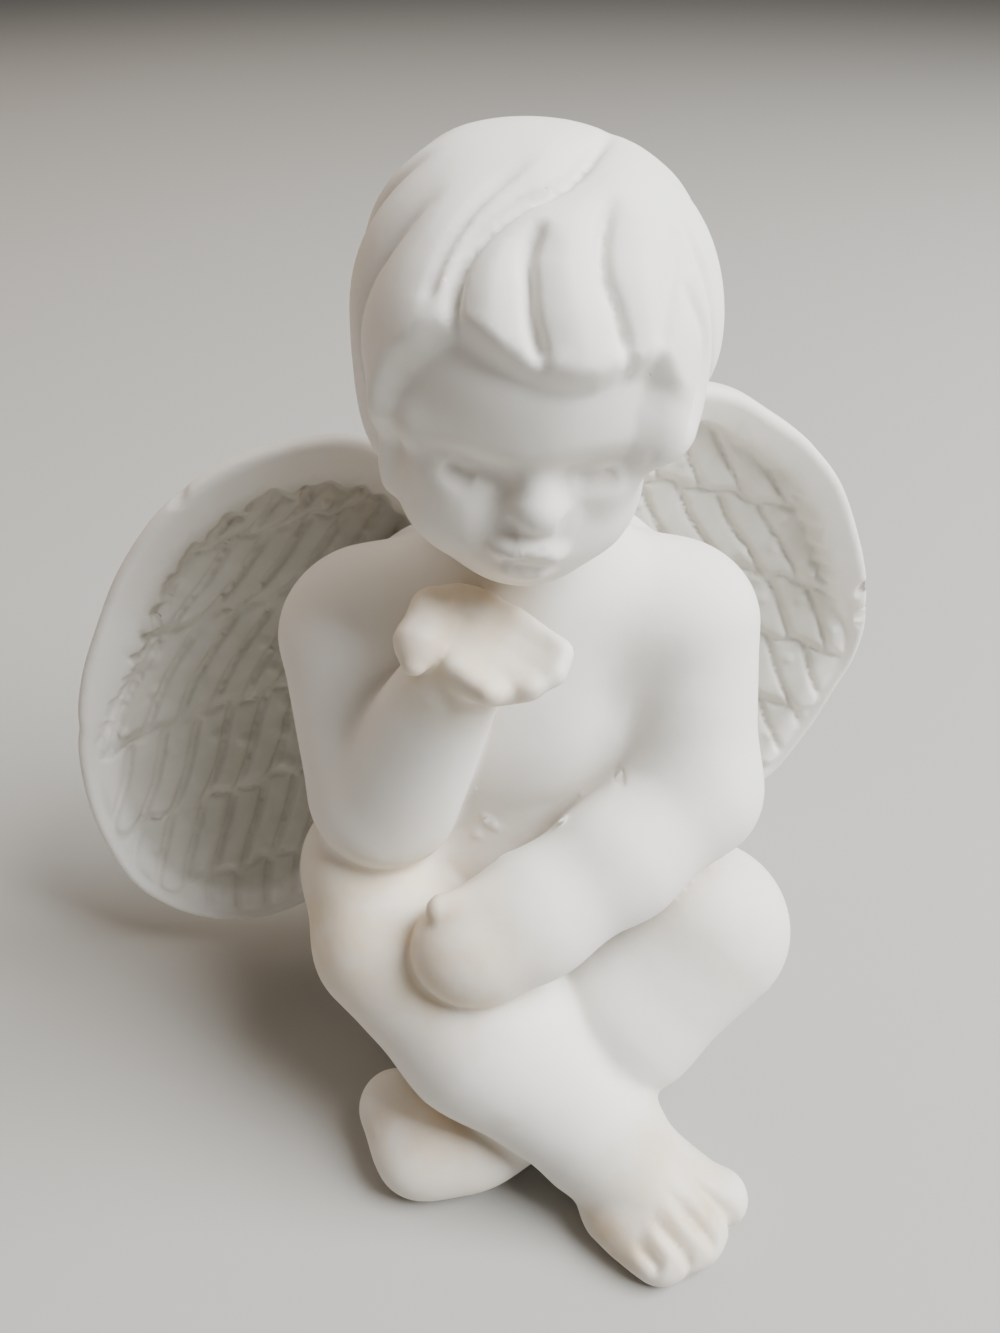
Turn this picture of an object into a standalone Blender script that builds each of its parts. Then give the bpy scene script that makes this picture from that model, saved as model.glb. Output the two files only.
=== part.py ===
"""Seated winged cherub blowing a kiss, one slip-cast piece of unglazed porcelain.

The figure faces -Y, +X is its left side and +Z is up. The table is at z = 0, under the middle of the seat.
Masses are blended into one body, as wet clay is, and the hair, feathers, toes and face are pressed into it.
"""

import math
from collections import namedtuple

import bmesh
import bpy
import numpy as np
from mathutils import Euler, Matrix, Vector

# Driving dimensions, in metres
HEIGHT = 0.127  # table to the crown of the head
WING_WALL = 0.0029  # thickness of the cast wing behind its feathers

# Pose, proportions and carving are in about hundredths of the height
CROWN = 98.8
UNIT = HEIGHT / CROWN
BLOCK_GRAIN = 1.1  # cell of the first, rough remesh
CLAY_GRAIN = 0.62  # cell of the remesh that takes the carving
FACES = 9600  # triangles that are kept

Egg = namedtuple("Egg", "centre radii turn", defaults=[(0, 0, 0)])
Limb = namedtuple("Limb", "start end start_radius end_radius")
Place = namedtuple("Place", "origin axes")

BODY = Place(np.zeros(3), np.eye(3))


def turned(x, y, z):
    """Rotation matrix of a turn about X, then Y, then Z, in degrees."""
    return np.array(Euler([math.radians(a) for a in (x, y, z)], "XYZ").to_matrix())


# Torso, from the seat to the neck
TORSO = [
    Egg((0, 5, 10.5), (14.5, 11.5, 12.5)),
    Egg((0, 1.2, 6.5), (9.5, 7.8, 8.2)),
    Egg((-6.2, 8.6, 8.5), (8.0, 7.8, 8.8)),
    Egg((6.2, 8.6, 8.5), (8.0, 7.8, 8.8)),
    Egg((0, 0.2, 24), (12.6, 10.6, 13)),
    Egg((0, 1.4, 44), (12.6, 9.8, 15)),
    Egg((-16.0, 2.2, 53.4), (7.6, 7.2, 7.6)),
    Egg((15.4, 2.0, 53.0), (7.4, 7.2, 7.6)),
    Limb((-4, 2.6, 58.8), (-13.4, 2.6, 54.6), 6.4, 6.4),
    Limb((4, 2.6, 58.8), (13.0, 2.4, 54.2), 6.4, 6.4),
    Limb((0, 2.6, 54), (0.4, 1.5, 69), 8.0, 7.0),
    Egg((11.5, 0, 42), (4.5, 5, 9)),
    Egg((-10.5, 0, 40), (4.5, 5, 9)),
    Egg((15.5, -4.0, 28.6), (5.5, 5.0, 4.0)),
    Egg((-15.4, -6.0, 30.6), (5.0, 4.5, 3.5)),
]
RIGHT_THIGH = [
    Limb((-8, 6.0, 10.6), (-14.8, -10.8, 23.0), 10.2, 8.1),
    Egg((-18.5, -5.5, 27.5), (5.9, 6.5, 8.6)),
]
LEFT_THIGH = [Limb((8, 6.0, 10.6), (18.6, -10.6, 21.8), 10.2, 8.7)]
RIGHT_SHIN = [
    Limb((-15.0, -11.8, 23.6), (-5.6, -18.5, 16.9), 8.1, 9.0),
    Limb((-5.6, -18.5, 16.9), (5.6, -26.0, 9.0), 9.0, 6.6),
]
LEFT_SHIN = [
    Limb((18.8, -11.6, 21.8), (9.4, -16.2, 14.6), 8.7, 8.4),
    Limb((9.4, -16.2, 14.6), (-1.6, -21.2, 7.0), 8.4, 5.4),
]
RIGHT_FOOT = [
    Limb((5.6, -26.0, 7.2), (11.4, -31.2, 4.0), 6.1, 4.5),
    Egg((11.2, -31.6, 2.6), (6.4, 6.0, 3.9), (0, 0, 35)),
]
TOES = [
    Limb((8.6, -25.4, 6.4), (14.6, -29.2, 3.8), 4.0, 2.4),
    Limb((14.0, -29.0, 3.8), (17.9, -31.3, 3.0), 2.4, 2.6),
    Limb((17.9, -31.3, 2.8), (14.7, -34.6, 2.4), 2.6, 2.6),
    Limb((14.7, -34.6, 2.4), (10.8, -36.2, 2.2), 2.6, 2.4),
    Limb((10.8, -36.1, 2.2), (7.0, -31.5, 3.0), 2.4, 3.6),
]
# Grooves between the toes, seen from above, from the knuckles to the tips
TOE_GROOVES = [
    ((13.2, -30.5), (18.8, -34.5)),
    ((11.1, -32.2), (15.6, -36.2)),
    ((9.4, -34.1), (13.0, -37.4)),
    ((7.8, -35.5), (10.0, -37.8)),
]
TOE_GROOVE_DEPTH = 0.7
TOE_GROOVE_WIDTH = 1.2
LEFT_FOOT = [
    Egg((-8.6, -23.6, 4.2), (8.8, 5.8, 4.8), (0, -6, 4)),
    Limb((-15.7, -19.8, 4.6), (-13.4, -24.6, 3.4), 4.0, 3.8),
]
RIGHT_ARM = [
    Limb((-16.6, 1.8, 53.0), (-14.9, -4.4, 38.8), 7.2, 7.5),
    Limb((-14.3, -5.2, 38.4), (-7.2, -10.5, 57.0), 7.5, 4.4),
]
LEFT_ARM = [
    Limb((16.0, 1.8, 53.0), (16.5, -5.4, 37.8), 7.4, 6.9),
    Limb((16.3, -6.4, 36.8), (8.6, -12.2, 33.6), 6.8, 6.4),
    Limb((8.6, -12.2, 33.6), (-0.4, -16.0, 31.2), 6.4, 5.6),
]
LEFT_FIST = [
    Egg((-5.6, -17.6, 30.2), (6.0, 5.2, 5.2), (0, 8, 18)),
    Limb((-4.6, -17.4, 33.6), (-8.4, -18.2, 33.4), 1.7, 1.6),
]
WING_ROOTS = [Egg((-9, 9.6, 48), (7, 4.6, 13)), Egg((9, 9.6, 49), (7, 4.6, 13))]

# Right hand, held palm up: +X to the fingertips, +Y to the little finger, +Z out of the palm
HAND = Place(np.array((-4.5, -12.3, 61.8)), (turned(25, 0, 0) @ turned(0, 0, -45)).T)
PALM = [
    Egg((-0.6, 0.2, -1.0), (6.3, 4.5, 1.8)),
    Egg((-3.6, 0.1, -1.7), (3.5, 3.5, 2.2)),
]
FINGERS = [
    Limb((-0.6, -2.5, -0.3), (2.7, -2.6, 0.0), 1.6, 1.5),
    Limb((0.3, -0.3, -0.3), (4.8, -0.1, 0.0), 1.5, 1.45),
    Limb((0.6, 1.6, -0.3), (5.5, 1.8, 0.0), 1.45, 1.4),
    Limb((0.2, 3.2, -0.3), (4.9, 3.4, 0.0), 1.4, 1.35),
]
THUMB = [
    Limb((-5.3, -0.5, 0.1), (-4.0, -3.8, 0.6), 2.2, 1.9),
    Limb((-4.0, -3.8, 0.6), (-3.1, -5.4, 0.3), 1.9, 0.9),
]
HOLLOW = Egg((1.2, 0.6, 1.9), (4.6, 3.6, 1.6))

# Head, turned a little and bowed: -Y out of the face, +Z to the crown
HEAD = Place(np.array((0.3, -1.1, 82.5)), turned(8, 6, -4).T)
SKULL = [
    Egg((-0.3, 1.4, 1.2), (11.8, 13.2, 11.2)),
    Egg((-3.2, 2.4, 4.5), (8.8, 9.8, 8.7)),
    Egg((3.1, 2.4, 4.0), (8.7, 9.8, 8.6)),
    Egg((0.0, -4.0, 1.8), (10.6, 9.6, 8.2)),
    Egg((-0.5, -2.6, -7.0), (8.6, 9.0, 8.2)),
    Egg((-8.0, 1.0, -6.0), (4.0, 5.5, 5.5)),
    Egg((-0.4, -5.8, -9.2), (7.2, 6.6, 5.6)),
]
BROWS = [
    Limb((-8.2, -9.4, -1.3), (-1.4, -11.8, -2.0), 1.9, 1.6),
    Limb((8.0, -9.6, 0.0), (1.6, -11.8, -1.3), 1.9, 1.6),
]
CHEEKS = [Egg((-4.9, -7.2, -7.8), (4.5, 5.4, 4.8)), Egg((4.2, -7.2, -7.8), (4.5, 5.4, 4.8))]
CHIN = Egg((0.1, -10.3, -11.9), (3.2, 2.4, 2.1))
MUZZLE = Egg((0.1, -10.8, -9.5), (3.8, 3.4, 3.2))
SOCKETS = [
    Egg((-4.2, -14.4, -3.4), (3.0, 2.6, 1.0), (0, 5, 0)),
    Egg((4.5, -14.4, -2.7), (3.0, 2.6, 1.0), (0, -10, 0)),
]
LIDS = [Egg((-4.9, -10.0, -5.0), (3.0, 2.4, 2.0)), Egg((4.9, -10.0, -4.3), (3.0, 2.4, 2.0))]
NOSE = [
    Limb((0.4, -12.0, -2.6), (0.8, -13.3, -5.0), 1.3, 1.6),
    Egg((0.8, -13.5, -5.6), (1.9, 1.7, 1.6)),
    Egg((-0.5, -12.8, -6.2), (1.2, 1.2, 1.0)),
    Egg((2.1, -12.8, -6.2), (1.2, 1.2, 1.0)),
]
LIPS = [
    Egg((-0.7, -13.3, -8.7), (1.6, 1.3, 0.9), (0, -14, 0)),
    Egg((1.0, -13.3, -8.7), (1.6, 1.3, 0.9), (0, 14, 0)),
    Egg((0.1, -13.1, -10.2), (1.6, 1.2, 0.95)),
]

# Hair, in degrees on the head: (round to the figure's left from the nose, up from the ears)
HAIR_RADII = np.array((14.2, 15.6, 16.2))
HAIR_DEPTH = 1.7
HAIR_EDGE = 2.5  # how far the hair takes to reach its depth
HAIR_THINNING = 0.35  # share of its depth that it loses towards the nape
HAIRLINE = [
    (-180, -38), (-140, -40), (-110, -42), (-84, -42), (-64, -42), (-56, -34), (-56, -18), (-51, -4), (-50, 4),
    (-47, 12), (-42, 17.5), (-37, 23), (-31, 27), (-23, 25.5), (-16, 23.5), (-8, 21.5), (0, 20), (8, 19),
    (16, 19), (22, 20.5), (26, 22), (30, 21), (36, 21.5), (39, 15), (38, 3), (37, -5), (40, -10), (48, -14),
    (62, -16), (80, -20), (100, -28), (125, -34), (150, -38), (180, -38),
]
# Grooves between the locks: (share of the full depth, corners)
FRONT_GROOVES = [
    (1.2, [(155, 50), (140, 66), (112, 78), (30, 80), (-8, 73), (-25, 67), (-34, 58), (-38, 48), (-37, 38), (-32, 27)]),
    (1.1, [(-7, 63), (-12, 57), (-13, 49), (-10, 42), (-7, 34), (-2, 25)]),
    (1.0, [(52, 68), (34, 63), (23, 53), (21, 45), (23, 38), (25, 26)]),
    (0.4, [(79, 50), (66, 48), (55, 43), (45, 36), (37, 26)]),
    (0.6, [(52, 42), (57, 33), (60, 22), (56, 13), (48, 3)]),
    (0.5, [(-48, 85), (-50, 70), (-49, 55), (-46, 42), (-43, 30)]),
]
BACK_LOCKS = 9
BACK_LOCKS_FROM = 74
BACK_LOCKS_TO = 292
GROOVE_DEPTH = 1.2
GROOVE_WIDTH = 2.0

# A wing's outline is (degrees up from straight out, distance of the edge from the wing's middle)
Wing = namedtuple("Wing", "side centre sweep lean outline rim rows barbs_apart bend curl")
RIGHT_OUTLINE = [
    (0, 19.4), (20, 18.8), (40, 19.3), (60, 21.8), (78, 25.4), (92, 28.5), (105, 31.1), (118, 33.2),
    (136, 31.5), (156, 26), (187, 22), (220, 22.4), (250, 26.4), (268, 30.6), (280, 32.4), (292, 32.4),
    (306, 30.3), (322, 25.9), (340, 22.1),
]
LEFT_OUTLINE = [
    (0, 19.0), (10, 18.4), (30, 18.6), (48, 20.2), (68, 23.9), (77, 26.0), (87, 28.6), (97, 32.0),
    (108, 34.2), (120, 33.5), (136, 30.5), (156, 25.5), (187, 21), (220, 21.5), (250, 25.5), (270, 28.6),
    (290, 27.6), (307, 23.7), (325, 20.9), (340, 20.2),
]
RIGHT_WING = Wing(
    -1, (-29, 10.5, 38.5), -0.117, 0.11, RIGHT_OUTLINE, 5.8, (26, 17.7, 10, -1.5, -12.5, -23, -34), 3.6, 0.5, 0.008
)
LEFT_WING = Wing(
    1, (25, 17, 40), 0.186, 0.0, LEFT_OUTLINE, 4.2, (28, 20, 12, 3.5, -8, -19, -30), 4.3, 0.38, 0.004
)
WING_BOWL = 4.6
RIM_RISE = 1.5
BARB_DEPTH = 0.65
BARB_WIDTH = 1.1
ROW_STEP = 0.7


def length(vectors):
    return np.sqrt(np.einsum("ij,ij->i", vectors, vectors))


def local(place, points):
    """Points of the figure, seen from a part's own place."""
    return (points - place.origin) @ place.axes.T


def distance(mass, points):
    """How far each point lies outside a mass, below zero inside."""
    if isinstance(mass, Egg):
        radii = np.array(mass.radii)
        offset = (points - mass.centre) @ turned(*mass.turn)
        stretched = length(offset / radii)
        return stretched * (stretched - 1) / np.maximum(length(offset / radii**2), 1e-6)
    start, end = np.array(mass.start, float), np.array(mass.end, float)
    axis = end - start
    along = np.clip((points - start) @ axis / (axis @ axis), 0, 1)
    radius = mass.start_radius + along * (mass.end_radius - mass.start_radius)
    return length(points - start - along[:, None] * axis) - radius


def joined(first, second, fillet):
    """Two masses pressed together, with clay in the corner between them."""
    share = np.clip(1 - np.abs(first - second) / fillet, 0, 1)
    return np.minimum(first, second) - share * share * fillet / 4


def pressed(body, tool, fillet):
    """A body with a tool pressed out of it."""
    return -joined(-body, tool, fillet)


def union(masses, points, fillet):
    body = distance(masses[0], points)
    for mass in masses[1:]:
        body = joined(body, distance(mass, points), fillet)
    return body


def smooth_step(values):
    share = np.clip(values, 0, 1)
    return share * share * (3 - 2 * share)


def on_head(turn, rise):
    """Direction of a place on the head, from its degrees round and up."""
    turn, rise = math.radians(turn), math.radians(rise)
    return np.array((math.cos(rise) * math.sin(turn), -math.cos(rise) * math.cos(turn), math.sin(rise)))


def rounded(corners, steps=4):
    """A curve through the corners, bent evenly between them."""
    ends = [2 * corners[0] - corners[1], *corners, 2 * corners[-1] - corners[-2]]
    curve = []
    for a, b, c, d in zip(ends[:-3], ends[1:-2], ends[2:-1], ends[3:]):
        for t in np.linspace(0, 1, steps, endpoint=False):
            bend = t * t * (a - 2.5 * b + 2 * c - 0.5 * d) + t**3 * (1.5 * b - 0.5 * a - 1.5 * c + 0.5 * d)
            curve.append(b + 0.5 * t * (c - a) + bend)
    curve.append(np.array(corners[-1]))
    return np.array(curve)


def from_curve(curve, points):
    """Distance of each point from a curve, and how far along the curve that is, from 0 to 1."""
    nearest = np.full(len(points), np.inf)
    share = np.zeros(len(points))
    for i, (start, end) in enumerate(zip(curve[:-1], curve[1:])):
        axis = end - start
        along = np.clip((points - start) @ axis / (axis @ axis), 0, 1)
        gap = length(points - start - along[:, None] * axis)
        closer = gap < nearest
        nearest = np.where(closer, gap, nearest)
        share = np.where(closer, (i + along) / (len(curve) - 1), share)
    return nearest, share


def back_lock(index):
    """Groove between two locks that fall from the crown over the back of the head."""
    turn = BACK_LOCKS_FROM + (BACK_LOCKS_TO - BACK_LOCKS_FROM) * index / (BACK_LOCKS - 1)
    swing = 7 * math.sin(2.3 * index)
    return 0.9, [(turn, 58), (turn + swing, 36), (turn - 5, 10), (turn + 4, -14), (turn + swing, -38)]


def hair_table():
    """Thickness of the hair over the skull, for every degree round and up the head."""
    turns, rises = np.meshgrid(np.linspace(-180, 180, 361), np.linspace(-90, 90, 181))
    turn, rise = np.radians(turns.ravel()), np.radians(rises.ravel())
    bearing = np.stack((np.cos(rise) * np.sin(turn), -np.cos(rise) * np.cos(turn), np.sin(rise)), axis=1)
    radius = HAIR_RADII.mean()
    hairline = np.array(HAIRLINE, float)
    edge, _ = from_curve(np.array([on_head(*corner) for corner in HAIRLINE]), bearing)
    above = np.degrees(rise) > np.interp(np.degrees(turn), hairline[:, 0], hairline[:, 1])
    cover = smooth_step(np.where(above, edge, -edge) * radius / HAIR_EDGE + 0.4)
    thinning = HAIR_THINNING * smooth_step((-np.degrees(rise) - 8) / 30)
    carved = np.zeros(len(bearing))
    for depth, corners in FRONT_GROOVES + [back_lock(i) for i in range(BACK_LOCKS)]:
        gap, share = from_curve(rounded([on_head(*corner) for corner in corners]), bearing)
        fade = depth * smooth_step(share * 3) * smooth_step((1 - share) * 8 + 0.5)
        carved = np.maximum(carved, fade * (1 - np.minimum(gap * radius / GROOVE_WIDTH, 1) ** 2) ** 2)
    return (cover * (HAIR_DEPTH * (1 - thinning) - GROOVE_DEPTH * carved)).reshape(turns.shape)


HAIR = hair_table()


def hair(points):
    """Thickness of the hair over the skull at each point, read between the table's places."""
    bearing = points / HAIR_RADII
    bearing = bearing / np.maximum(length(bearing), 1e-6)[:, None]
    column = np.degrees(np.arctan2(bearing[:, 0], -bearing[:, 1])) + 180
    row = np.degrees(np.arcsin(np.clip(bearing[:, 2], -1, 1))) + 90
    left = np.clip(column.astype(int), 0, 359)
    low = np.clip(row.astype(int), 0, 179)
    across, up = column - left, row - low
    lower = HAIR[low, left] * (1 - across) + HAIR[low, left + 1] * across
    upper = HAIR[low + 1, left] * (1 - across) + HAIR[low + 1, left + 1] * across
    return lower * (1 - up) + upper * up


def head(points):
    points = local(HEAD, points)
    body = union(SKULL, points, 4)
    body = joined(body, union(CHEEKS, points, 1), 4)
    body = joined(body, union(BROWS, points, 2), 2.5)
    body = joined(body, distance(MUZZLE, points), 2.5)
    body = joined(body, distance(CHIN, points), 3)
    for socket in SOCKETS:
        body = pressed(body, distance(socket, points), 1.8)
    body = joined(body, union(LIDS, points, 0.5), 1.8)
    body = joined(body, union(NOSE, points, 0.9), 1.5)
    body = joined(body, union(LIPS, points, 0.5), 1.0)
    return body - hair(points)


def hand(points):
    points = local(HAND, points)
    body = union(PALM, points, 2.5)
    body = joined(body, union(FINGERS, points, 1), 1.2)
    body = pressed(body, distance(HOLLOW, points), 1.4)
    return joined(body, union(THUMB, points, 1.2), 0.6)


def right_foot(points):
    foot = joined(union(RIGHT_FOOT, points, 2.5), union(TOES, points, 1.5), 2)
    above = points * (1, 1, 0)
    for knuckle, tip in TOE_GROOVES:
        gap, share = from_curve(np.array([(*knuckle, 0), (*tip, 0)]), above)
        pressed_in = smooth_step(share * 1.8) * (1 - np.minimum(gap / TOE_GROOVE_WIDTH, 1)) ** 1.5
        foot = foot + TOE_GROOVE_DEPTH * pressed_in * smooth_step(points[:, 2] - 1)
    return foot


def wing_axes(wing):
    """Directions of a wing: outward, up along it, and forward out of its hollow side."""
    outward = np.array((wing.side, wing.sweep, 0.0))
    outward /= np.linalg.norm(outward)
    upward = np.array((0, wing.lean, 1.0))
    upward -= outward * (outward @ upward)
    upward /= np.linalg.norm(upward)
    return outward, upward, np.cross(outward, upward) * wing.side


def wing_radius(wing, angle):
    """Distance of a wing's edge from its middle, and its slope, at an angle in degrees."""
    corners = np.array(wing.outline + [(wing.outline[0][0] + 360, wing.outline[0][1])], float)
    table = rounded(list(corners), 6)
    radius = np.interp(angle % 360, table[:, 0], table[:, 1])
    ahead = np.interp((angle + 2) % 360, table[:, 0], table[:, 1])
    return radius, (ahead - radius) / math.radians(2)


def feathers(out, up, wing):
    """Height of the feathers over the wing: rows that overlap like tiles, with a groove between neighbours."""
    rows = np.array(wing.rows)
    row_place = np.interp(-(up + 0.33 * out), -rows, np.arange(len(rows)))
    row = np.floor(row_place)
    through = row_place - row
    across = out + wing.bend * up + wing.curl * up * up - 1.3 * through**2 + 0.45 * wing.barbs_apart * (row % 2)
    across = across + 0.35 * np.sin(0.4 * up + 1.9 * row)
    cell = across / wing.barbs_apart
    groove = np.abs(cell - np.round(cell)) * wing.barbs_apart
    barb = BARB_DEPTH * (1 - np.minimum(groove / BARB_WIDTH, 1)) ** 2
    tip = ROW_STEP * smooth_step(through) * smooth_step((1 - through) * 12)
    return tip - barb


def wing_shell(points, wing):
    """Cupped wing with a raised front rim, hollow side to the front."""
    out, up, ahead = ((points - wing.centre) @ axis for axis in wing_axes(wing))
    reach = np.hypot(out, up)
    angle = np.degrees(np.arctan2(up, out)) % 360
    radius, slope = wing_radius(wing, angle)
    inset = (radius - reach) / np.sqrt(1 + (slope / radius) ** 2)
    height = ahead + WING_BOWL * (1 - np.clip(reach / radius, 0, 1.1) ** 2)
    from_top = np.abs((angle - 90 + 180) % 360 - 180)
    top = 1 - smooth_step((from_top - 55) / 60)
    width = wing.rim * (0.25 + 0.75 * top) + 0.3 * np.sin(0.55 * angle) * top
    on_rim = smooth_step((width - inset) / 1.2 + 0.5)
    relief = feathers(out, up, wing) * smooth_step((inset - width - 0.2) / 1.2)
    front = WING_WALL / UNIT / 2 + RIM_RISE * (0.25 + 0.75 * top) * on_rim + relief
    back = WING_WALL / UNIT / 2 + 0.3 * relief
    corner = 1.3
    across = np.maximum(height - front, -height - back) + corner
    beyond = corner - inset
    return np.hypot(np.maximum(across, 0), np.maximum(beyond, 0)) + np.minimum(np.maximum(across, beyond), 0) - corner


def nearby(part, middle, reach, points):
    """A part's distance, worked out only for the points that are close to it."""
    away = length(points - np.array(middle))
    close = away < reach
    result = away - reach + 6
    result[close] = part(points[close])
    return result


def legs(points):
    body = joined(union(RIGHT_THIGH, points, 3), union(LEFT_THIGH, points, 1), 1)
    left = joined(union(LEFT_SHIN, points, 2), union(LEFT_FOOT, points, 3), 2.5)
    body = joined(body, left, 1.6)
    right = joined(union(RIGHT_SHIN, points, 2), nearby(right_foot, RIGHT_FOOT[1].centre, 18, points), 2.2)
    return joined(body, right, 1.3)


def left_arm(points):
    return joined(union(LEFT_ARM, points, 2.5), union(LEFT_FIST, points, 0.7), 1.2)


def right_arm(points):
    return joined(union(RIGHT_ARM, points, 1.2), nearby(hand, HAND.origin, 16, points), 1.4)


def figure(points):
    """Distance from the figure's skin to each point, in the figure's units."""
    body = joined(union(TORSO, points, 5), union(WING_ROOTS, points, 3), 3)
    body = joined(body, nearby(legs, (0, -14, 14), 42, points), 1.8)
    for wing in (RIGHT_WING, LEFT_WING):
        body = joined(body, nearby(lambda near: wing_shell(near, wing), wing.centre, 40, points), 1.6)
    body = joined(body, nearby(left_arm, (8, -8, 42), 32, points), 1.1)
    body = joined(body, nearby(right_arm, (-11, -5, 50), 30, points), 1.1)
    return joined(body, nearby(head, HEAD.origin, 24, points), 1.6)


def block_in(bm, place, mass):
    """A rough ball or limb, as the first lump of clay."""
    frame = Matrix.Translation(Vector(place.origin)) @ Matrix(place.axes.T.tolist()).to_4x4()
    if isinstance(mass, Egg):
        turn = Matrix(turned(*mass.turn).tolist()).to_4x4()
        matrix = frame @ Matrix.Translation(mass.centre) @ turn @ Matrix.Diagonal((*mass.radii, 1))
        bmesh.ops.create_icosphere(bm, subdivisions=3, radius=1, matrix=matrix)
        return
    ball = bmesh.ops.create_icosphere(bm, subdivisions=3, radius=1)["verts"]
    axis = (Vector(mass.end) - Vector(mass.start)).normalized()
    for v in ball:
        ahead = v.co.dot(axis) > 0
        centre, radius = (mass.end, mass.end_radius) if ahead else (mass.start, mass.start_radius)
        v.co = frame @ (Vector(centre) + radius * v.co)


def block_in_wing(bm, wing):
    """A rough cupped slab: a ball flattened to the wing's outline."""
    ball = bmesh.ops.create_icosphere(bm, subdivisions=5, radius=1)["verts"]
    outward, upward, forward = (Vector(axis) for axis in wing_axes(wing))
    for v in ball:
        angle = math.atan2(v.co.z, v.co.x)
        share = min(math.hypot(v.co.x, v.co.z), 1)
        reach = share * float(wing_radius(wing, np.array([math.degrees(angle)]))[0][0])
        wall = 1.3 + (1.2 * share**4 if v.co.y > 0 else 0)
        ahead = -WING_BOWL * (1 - share**2) + wall * math.copysign(abs(v.co.y) ** 0.15, v.co.y)
        across = reach * (math.cos(angle) * outward + math.sin(angle) * upward)
        v.co = Vector(wing.centre) + across + ahead * forward
    bmesh.ops.recalc_face_normals(bm, faces=list({f for v in ball for f in v.link_faces}))


def blocked_in():
    """All the lumps, overlapping, before they become one skin."""
    bm = bmesh.new()
    body = TORSO + WING_ROOTS + RIGHT_THIGH + LEFT_THIGH + RIGHT_SHIN + LEFT_SHIN + RIGHT_FOOT + TOES + LEFT_FOOT
    for mass in body + RIGHT_ARM + LEFT_ARM + LEFT_FIST:
        block_in(bm, BODY, mass)
    for mass in SKULL + CHEEKS + BROWS + [CHIN, MUZZLE, Egg((-0.6, 1, 1.6), (14, 15, 14))] + LIDS + NOSE + LIPS:
        block_in(bm, HEAD, mass)
    for mass in PALM + FINGERS + THUMB:
        block_in(bm, HAND, mass)
    for wing in (RIGHT_WING, LEFT_WING):
        block_in_wing(bm, wing)
    mesh = bpy.data.meshes.new("clay")
    bm.to_mesh(mesh)
    bm.free()
    return mesh


def apply_modifiers(obj):
    graph = bpy.context.evaluated_depsgraph_get()
    graph.update()
    mesh = bpy.data.meshes.new_from_object(obj.evaluated_get(graph))
    obj.modifiers.clear()
    old = obj.data
    obj.data = mesh
    bpy.data.meshes.remove(old)


def remesh(obj, grain):
    """Rebuilds the object's mesh as one skin of even cells."""
    modifier = obj.modifiers.new("skin", "REMESH")
    modifier.mode = "VOXEL"
    modifier.voxel_size = grain
    apply_modifiers(obj)
    drop_scraps(obj.data)


def drop_scraps(mesh):
    """Drops any scrap that isn't part of the main skin."""
    bm = bmesh.new()
    bm.from_mesh(mesh)
    waiting = set(bm.verts)
    pieces = []
    while waiting:
        piece, edge = set(), [waiting.pop()]
        while edge:
            v = edge.pop()
            piece.add(v)
            for e in v.link_edges:
                other = e.other_vert(v)
                if other in waiting:
                    waiting.discard(other)
                    edge.append(other)
        pieces.append(piece)
    pieces.sort(key=len)
    for piece in pieces[:-1]:
        bmesh.ops.delete(bm, geom=list(piece), context="VERTS")
    bm.to_mesh(mesh)
    bm.free()


def press_to(mesh, skin, rounds):
    """Moves the vertices onto a skin, by steps along its slope."""
    flat = np.empty(len(mesh.vertices) * 3, np.float32)
    mesh.vertices.foreach_get("co", flat)
    points = flat.reshape(-1, 3).astype(float)
    reach = 0.04
    corners = np.array([(1, -1, -1), (-1, -1, 1), (-1, 1, -1), (1, 1, 1)]) * reach
    for _ in range(rounds):
        around = [skin(points + corner) for corner in corners]
        here = sum(around) / 4
        slope = sum(value[:, None] * corner for value, corner in zip(around, corners)) / (4 * reach**2)
        steep = np.maximum(length(slope), 0.35)
        step = np.clip(here / steep, -1.2, 1.2) / steep
        points -= step[:, None] * slope
    mesh.vertices.foreach_set("co", points.astype(np.float32).ravel())
    mesh.update()


def cut_at_table(mesh):
    """Cuts the underside flat at z = 0, as a foot ground on a stone."""
    bm = bmesh.new()
    bm.from_mesh(mesh)
    for v in bm.verts:
        if abs(v.co.z) < 0.22:
            v.co.z = 0
    everything = bm.verts[:] + bm.edges[:] + bm.faces[:]
    bmesh.ops.bisect_plane(bm, geom=everything, dist=1e-4, plane_co=(0, 0, 0), plane_no=(0, 0, 1), clear_inner=True)
    bmesh.ops.holes_fill(bm, edges=[e for e in bm.edges if e.is_boundary], sides=0)
    bmesh.ops.triangulate(bm, faces=bm.faces)
    bm.to_mesh(mesh)
    bm.free()


def bisque():
    """Unglazed white porcelain: matt, a little warm."""
    material = bpy.data.materials.new("bisque_porcelain")
    material.use_nodes = True
    shader = material.node_tree.nodes["Principled BSDF"]
    shader.inputs["Base Color"].default_value = (0.80, 0.77, 0.72, 1)
    shader.inputs["Roughness"].default_value = 0.62
    shader.inputs["Metallic"].default_value = 0.0
    return material


def sculpted(name, grain, faces):
    """The figure as one closed body of about the number of faces asked for, or of all of them for 0."""
    obj = bpy.data.objects.new(name, blocked_in())
    bpy.context.scene.collection.objects.link(obj)
    remesh(obj, BLOCK_GRAIN)
    press_to(obj.data, figure, 3)
    remesh(obj, grain)
    press_to(obj.data, figure, 3)
    if faces:
        reduce = obj.modifiers.new("fewer", "DECIMATE")
        obj.data.calc_loop_triangles()
        reduce.ratio = faces / len(obj.data.loop_triangles)
        apply_modifiers(obj)
    cut_at_table(obj.data)
    obj.data.transform(Matrix.Scale(UNIT, 4))
    obj.data.shade_smooth()
    obj.data.materials.append(bisque())
    return obj


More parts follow.
